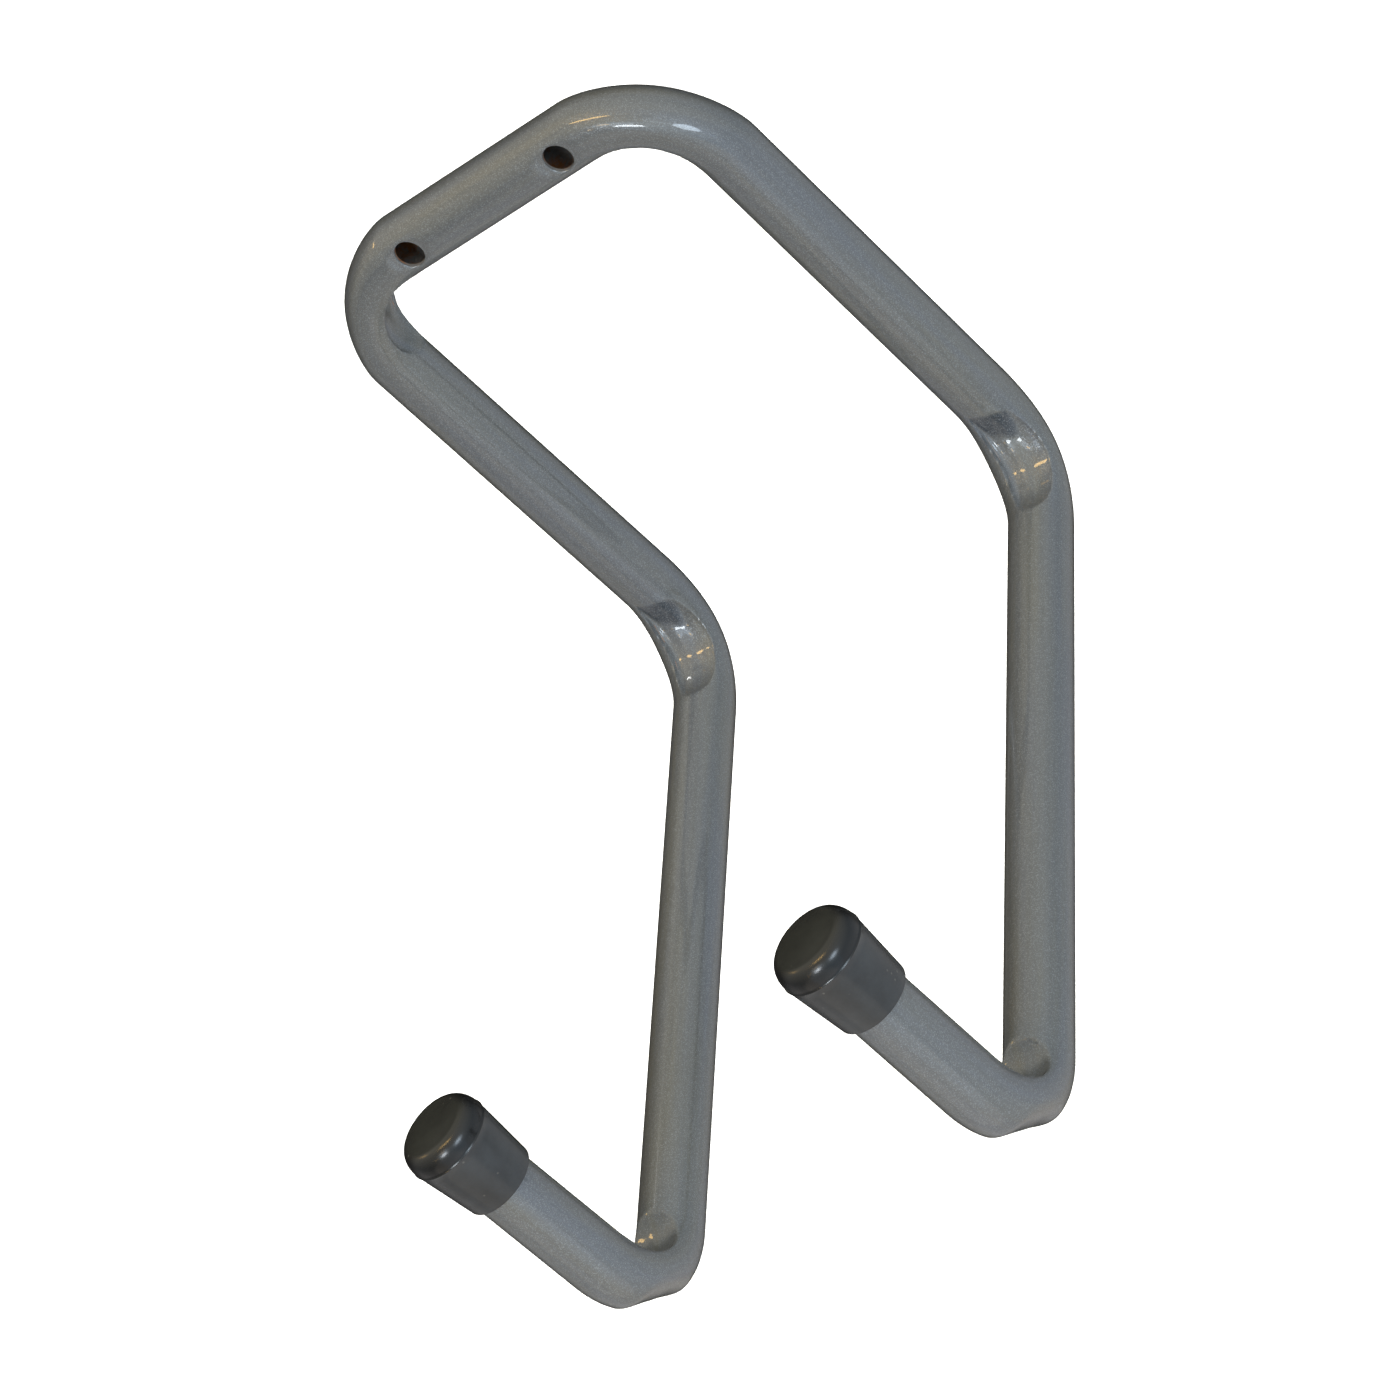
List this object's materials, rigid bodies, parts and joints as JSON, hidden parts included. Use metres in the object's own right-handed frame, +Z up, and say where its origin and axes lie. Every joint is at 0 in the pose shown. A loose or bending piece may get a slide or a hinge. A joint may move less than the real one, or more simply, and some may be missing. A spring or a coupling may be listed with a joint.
{
  "type": "wall-mounted double hook",
  "caption": "Bent-tube wall hook: a top bar with screw holes, legs that lie flat on the wall, and arms that stand out from it and turn up at ferrule-capped tips.",
  "frame": {"origin": "on the wall, behind the middle of the top bar, where the back of the tube touches the wall", "axes": "+Z up the wall, +Y into the wall, so that the arms stand out along -Y, and +X to the right of someone who faces the hook"},
  "size_m": [0.1798, 0.3056, 0.2424],
  "materials": {
    "tube_paint": "glossy metallic grey paint on steel tube",
    "ferrule_rubber": "satin black moulded rubber"
  },
  "bodies": {
    "root": {"bent_tube": "tube_paint", "ferrule_left": "ferrule_rubber", "ferrule_right": "ferrule_rubber"}
  },
  "joints": []
}
